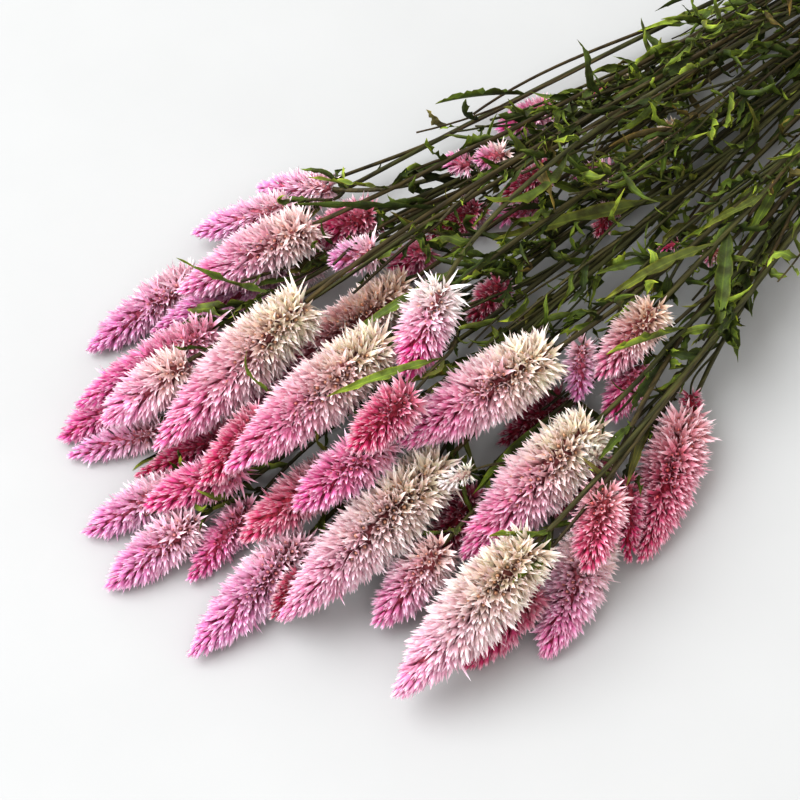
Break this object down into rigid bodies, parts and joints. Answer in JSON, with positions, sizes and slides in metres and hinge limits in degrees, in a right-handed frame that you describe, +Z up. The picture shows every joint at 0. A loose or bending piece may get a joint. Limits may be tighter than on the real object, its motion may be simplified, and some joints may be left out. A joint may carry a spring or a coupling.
{
  "type": "dried flower bunch",
  "caption": "Bunch of dried wheat celosia lying flat, with tapering pink flower spikes fanned out from long leafy stems that are tied with cord near their cut ends.",
  "frame": {"origin": "on the ground under the middle of the bunch's box", "axes": "+X along the bunch from the flower heads towards the cut stem ends, +Y across it, +Z up from the surface it lies on"},
  "size_m": [0.6476, 0.229, 0.0725],
  "materials": {
    "bracts_pale": "dry papery bracts, cream to pale pink",
    "bracts_pink": "dry papery bracts, mid pink",
    "bracts_dusty": "dry papery bracts, dusty rose",
    "bracts_rose": "dry papery bracts, deep rose",
    "bracts_crimson": "dry papery bracts, crimson",
    "dried_stem_green": "dry ribbed stems and curled leaves, dull olive",
    "cord_fibre": "twisted plant fibre, matt"
  },
  "bodies": {
    "root": {"flower_head_01": "bracts_pink", "flower_head_02": "bracts_pale", "flower_head_03": "bracts_pale", "flower_head_04": "bracts_pink", "flower_head_05": "bracts_dusty", "flower_head_06": "bracts_pink", "flower_head_07": "bracts_pale", "flower_head_08": "bracts_pink", "flower_head_09": "bracts_pale", "flower_head_10": "bracts_pale", "flower_head_11": "bracts_dusty", "flower_head_12": "bracts_pale", "flower_head_13": "bracts_rose", "flower_head_14": "bracts_rose", "flower_head_15": "bracts_pink", "flower_head_16": "bracts_pink", "flower_head_17": "bracts_pink", "flower_head_18": "bracts_rose", "flower_head_19": "bracts_pink", "flower_head_20": "bracts_rose", "flower_head_21": "bracts_pink", "flower_head_22": "bracts_rose", "flower_head_23": "bracts_pale", "flower_head_24": "bracts_crimson", "flower_head_25": "bracts_pink", "flower_head_26": "bracts_pale", "flower_head_27": "bracts_rose", "flower_head_28": "bracts_pale", "flower_head_29": "bracts_pale", "flower_head_30": "bracts_pale", "flower_head_31": "bracts_crimson", "flower_head_32": "bracts_rose", "flower_head_33": "bracts_crimson", "flower_head_34": "bracts_pink", "flower_head_35": "bracts_pink", "flower_head_36": "bracts_rose", "flower_head_37": "bracts_pink", "flower_head_38": "bracts_dusty", "flower_head_39": "bracts_pale", "flower_head_40": "bracts_pink", "flower_head_42": "bracts_rose", "flower_head_43": "bracts_pink", "flower_head_44": "bracts_crimson", "flower_head_45": "bracts_crimson", "flower_head_46": "bracts_crimson", "flower_head_48": "bracts_pink", "flower_head_49": "bracts_pink", "flower_head_50": "bracts_crimson", "flower_head_51": "bracts_pink", "flower_head_52": "bracts_pink", "flower_head_56": "bracts_pink", "flower_head_58": "bracts_dusty", "flower_head_59": "bracts_crimson", "stem_bundle_1": "dried_stem_green", "stem_bundle_2": "dried_stem_green", "stem_bundle_3": "dried_stem_green", "stem_bundle_4": "dried_stem_green", "stem_bundle_5": "dried_stem_green", "tie_cord": "cord_fibre"}
  },
  "joints": []
}
